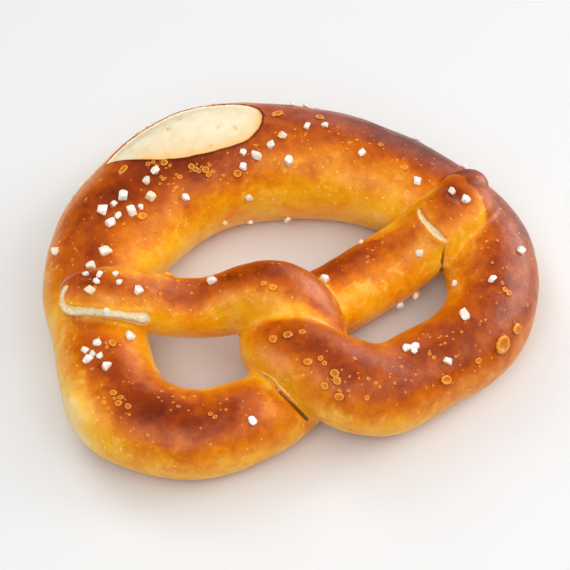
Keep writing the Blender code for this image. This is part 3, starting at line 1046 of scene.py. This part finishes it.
def dough_material():
    """Lye crust over white crumb.

    Lye turns the skin of the dough to a thin satin film, mahogany where the oven was hottest
    and golden on the sides, with fine golden specks where it blistered. Where it split, the
    crumb is matt and cream, and open and porous where it was torn. Its colour also holds
    painted shade, dark in the creases and seams, darker low on some sides and in the crumb's
    pores, and painted highlight, pale, on the left loop's outer edge.
    """
    made, tree, shader = new_material("lye_crust_over_crumb")
    bake, crease, edge, torn, gilded = [
        add_node(tree, "Attribute", {"attribute_name": name}, {}, "Fac")
        for name in ("bake", "crease", "crumb_edge", "torn", "gilded")]
    blotch, mottle, patch, fine, grain, pit = noises(
        tree, "blotch", "mottle", "patch", "fine", "crumb", "pit")

    specks = dots(tree, *SPECKS)
    shade = swung(tree, bake, [(blotch, 0.45), (mottle, 0.32), (fine, 0.14)])
    shade = summed(tree, shade, [(specks, -0.35)])
    patches = add_node(tree, "Math", PRODUCT, [
        add_node(tree, "MapRange", SMOOTH, [patch, 0.5, 0.68, 0.0, 0.65]),
        add_node(tree, "MapRange", SMOOTH, [shade, 0.5, 0.2])])
    # pale where the crust is least brown: pale dough, with painted highlight on the left loop's outer
    # edge
    pale = add_node(tree, "MapRange", SMOOTH, [shade, 0.0, -0.3, 0.0, 0.85])
    # painted shade, with some scorching: dark along the creases
    near = swung(tree, crease, [(mottle, 0.4)])
    crease_scorch_and_shade = add_node(tree, "MapRange", SMOOTH, [near, 0.3, -0.1, 0.0, 0.85])
    crust = coated(tree, crust_colour(tree, shade), [
        (patches, "#F6C250"), (pale, "#FBDC98"), (crease_scorch_and_shade, "#481800")])

    # painted shade: darker dots for the pores of the score's crumb
    pores = add_node(tree, "Math", PRODUCT, [
        dots(tree, *PORES), add_node(tree, "MapRange", SMOOTH, [fine, 0.4, 0.6, 0.1, 0.7])])
    gilding = add_node(tree, "Math", PRODUCT, [gilded, 0.9])
    crumb = coated(tree, "#EADBB4", [
        (add_node(tree, "MapRange", {}, [grain, 0.35, 0.6]), "#F2E6C8"), (pores, "#CCAC48"),
        (gilding, "#F0B04C")])
    pits = add_node(tree, "MapRange", SMOOTH, [pit, 0.54, 0.62])
    rim = add_node(tree, "MapRange", SMOOTH, [edge, -0.9, -0.1])
    # painted shade: the torn crumb's open pores darker; they are dented by the bump too
    open_crumb = coated(tree, "#EBDCBC", [
        (add_node(tree, "Math", PRODUCT, [pits, 0.7]), "#A98A60"), (rim, "#F3D9A0")])

    ragged = swung(tree, edge, [(mottle, 0.5)])
    skin = add_node(tree, "MapRange", SMOOTH, [ragged, -0.12, 0.12])
    gloss = add_node(tree, "MapRange", SMOOTH, [blotch, 0.3, 0.7, 0.28, 0.4])
    holes = add_node(tree, "Math", PRODUCT, [
        add_node(tree, "Math", PRODUCT, [pits, torn]),
        add_node(tree, "MapRange", SMOOTH, [edge, 0.1, -0.1])])
    step = add_node(tree, "MapRange", SMOOTH, [edge, -0.3, 0.2])
    relief = summed(tree, 0.0, [(mottle, 0.6), (fine, 0.35), (patches, 0.5), (specks, 0.4),
                                (step, 0.8), (holes, -0.8)])
    feed(tree, shader, SATIN)
    feed(tree, shader, {
        "Base Color": coated(tree, crumb, [(torn, open_crumb), (skin, crust)]),
        "Roughness": add_node(tree, "Mix", {"data_type": "FLOAT"}, {0: skin, 2: 0.85, 3: gloss}),
        "Subsurface Weight": 0.04,
        "Subsurface Radius": (0.003, 0.0014, 0.0004),
        "Subsurface Scale": 0.6,
        "Normal": add_node(tree, "Bump", {}, {
            "Height": relief, "Strength": 0.5, "Distance": 0.4 * MM}),
    })
    return made


def lip_material():
    """The pale edge of a strand's crust, kept from browning where two strands meet."""
    made, tree, shader = new_material("pale_crust_edge")
    [grain] = noises(tree, "edge")
    paleness = add_node(tree, "MapRange", {}, [grain, 0.35, 0.65])
    feed(tree, shader, SATIN)
    feed(tree, shader, {
        "Base Color": coated(tree, "#EE9A2C", [(paleness, "#F9C878")]),
        "Roughness": 0.5,
    })
    return made


def salt_material():
    """Crushed pretzel salt: opaque white crystals, some stained cream by the crust."""
    made, tree, shader = new_material("pretzel_salt")
    tint = add_node(tree, "Attribute", {"attribute_name": "tint"}, {}, "Fac")
    [cloud] = noises(tree, "crystal")
    clear = add_node(tree, "MapRange", {}, [cloud, 0.3, 0.65])
    white = coated(tree, "#F2EADC", [(clear, "#FDFBF6")])
    cream = coated(tree, "#E9CD96", [(clear, "#F6E4BE")])
    feed(tree, shader, {
        "Base Color": coated(tree, white, [(tint, cream)]),
        "Roughness": 0.5,
        "IOR": 1.54,
        "Subsurface Weight": 0.3,
        "Subsurface Radius": (0.0012, 0.001, 0.0008),
        "Subsurface Scale": 0.6,
        "Normal": add_node(tree, "Bump", {}, {
            "Height": cloud, "Strength": 0.4, "Distance": 0.25 * MM}),
    })
    return made


def blister_material():
    """Thin blown crust: paler round its raised rim, with a dark line round its foot."""
    made, tree, shader = new_material("blistered_crust")
    bake = add_node(tree, "Attribute", {"attribute_name": "bake"}, {}, "Fac")
    reach = add_node(tree, "Attribute", {"attribute_name": "reach"}, {}, "Fac")
    blotch, mottle = noises(tree, "blotch", "mottle")
    shade = swung(tree, bake, [(blotch, 0.45), (mottle, 0.32)])
    skin = crust_colour(tree, shade)
    browner = add_node(tree, "Math", {"operation": "ADD"}, [shade, 0.12])
    rim = add_node(tree, "Math", PRODUCT, [
        add_node(tree, "MapRange", SMOOTH, [reach, 0.5, 0.78]),
        add_node(tree, "MapRange", SMOOTH, [reach, 1.0, 0.9])])
    feed(tree, shader, SATIN)
    feed(tree, shader, {
        "Base Color": coated(tree, skin, [
            (summed(tree, 0.3, [(rim, 0.5)]), "#FFA92C"),
            (add_node(tree, "MapRange", SMOOTH, [reach, 0.92, 1.02]), crust_colour(tree, browner)),
            (add_node(tree, "MapRange", SMOOTH, [reach, 1.06, 1.18]), skin)]),
        "Roughness": 0.32,
    })
    return made


def table_material():
    """Smooth white laminate, matt."""
    made, tree, shader = new_material("white_laminate")
    feed(tree, shader, {"Base Color": linear("#E4E4E4"), "Roughness": 0.7, "IOR": 1.4})
    return made


# ---------------------------------------------------------------------------------------------
# Floor, light and camera
# ---------------------------------------------------------------------------------------------

VIEW_AZIMUTH = -21
VIEW_ELEVATION = 51
VIEW_DISTANCE = 600
VIEW_TARGET = (0.85, -7.77, 14)
FRAMING = (-2.26, 0.97)         # the camera's own shift to the right and up
LENS = 117.5

FLOOR_REACH = 3         # metres each way
FLOOR_DROP = 0.0001     # metres below the pretzel
LAMP_TARGET = (0, 0, 0.01)

# Lamps: place and size in metres, and power in watts.
PANELS = {              # mirrored in the crust, and light nothing
    "panel_right": ((0.8, 0.12, 0.36), 0.7, 8),
    "panel_back_right": ((0.6, 0.65, 0.4), 0.6, 1.8),
    "panel_left": ((-0.85, 0.2, 0.3), 0.6, 3.4),
}
FRONT_DAYLIGHT = {      # both lights and is mirrored
    "daylight_front_left": ((-0.5, -0.7, 0.9), 0.8, 6),
    "daylight_front_right": ((0.5, -0.7, 0.9), 0.8, 3.2),
}
DAYLIGHT = {            # lights alone
    "daylight_overhead": ((0.0, 0.0, 1.0), 1.6, 7.9),
    "daylight_right": ((0.9, -0.1, 0.6), 0.6, 4.2),
    "daylight_back": ((-0.2, 0.85, 0.8), 0.6, 3.8),
}


def looking_at(name, data, place, target):
    """An object at place whose -Z points to the target."""
    made = link_object(name, data)
    way = Vector(target) - Vector(place)
    turn = way.to_track_quat("-Z", "Y").to_matrix().to_4x4()
    made.matrix_world = Matrix.Translation(Vector(place)) @ turn
    return made


def make_camera():
    """The camera, looking down on the front from the left."""
    azimuth, elevation = math.radians(VIEW_AZIMUTH), math.radians(VIEW_ELEVATION)
    back = Vector((math.sin(azimuth) * math.cos(elevation),
                   -math.cos(azimuth) * math.cos(elevation), math.sin(elevation)))
    right = Vector((0, 0, 1)).cross(back).normalized()
    up = back.cross(right)
    target = (Vector(VIEW_TARGET) + right * FRAMING[0] + up * FRAMING[1]) * MM
    data = bpy.data.cameras.new("camera")
    data.lens = LENS
    data.sensor_width = 36
    data.clip_start = 0.01
    camera = looking_at("camera", data, target + back * VIEW_DISTANCE * MM, target)
    bpy.context.scene.camera = camera


def softbox(name, place, size, power, shading, mirrored):
    """A square lamp facing the pretzel, which can light it, be mirrored in it, or both."""
    data = bpy.data.lights.new(name, "AREA")
    data.shape = "SQUARE"
    data.size = size
    data.energy = power
    lamp = looking_at(name, data, place, LAMP_TARGET)
    lamp.visible_diffuse = shading
    lamp.visible_glossy = mirrored


def make_stage():
    """A pale floor in a dark room under soft daylight, with a bright panel at each side."""
    bm = bmesh.new()
    bmesh.ops.create_grid(bm, x_segments=1, y_segments=1, size=FLOOR_REACH)
    floor = link_object("floor", mesh_from("floor", bm))
    floor.location.z = -FLOOR_DROP
    floor.data.materials.append(table_material())
    world = bpy.data.worlds.new("room")
    bpy.context.scene.world = world
    world.use_nodes = True
    background = world.node_tree.nodes["Background"]
    background.inputs["Color"].default_value = linear("#FFFBF5")
    background.inputs["Strength"].default_value = 0.01
    for lamps, shading, mirrored in ((PANELS, False, True), (FRONT_DAYLIGHT, True, True),
                                     (DAYLIGHT, True, False)):
        for name, (place, size, power) in lamps.items():
            softbox(name, place, size, power, shading, mirrored)


# ---------------------------------------------------------------------------------------------
# Putting it together
# ---------------------------------------------------------------------------------------------

make_camera()
make_stage()

dough, points, bake, crumb = make_dough()
crust = Crust(points, bake, crumb)
salt = make_salt(crust)
blisters = make_blisters(crust)
lip = make_lip()

for piece, finish, slot in ((dough, dough_material(), "crust"), (salt, salt_material(), "salt"),
                            (blisters, blister_material(), "crust"), (lip, lip_material(), "crust")):
    piece.data.materials.append(finish)
    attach(piece, "root")
    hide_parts("pretzel")

bpy.context.scene.view_settings.view_transform = "Standard"
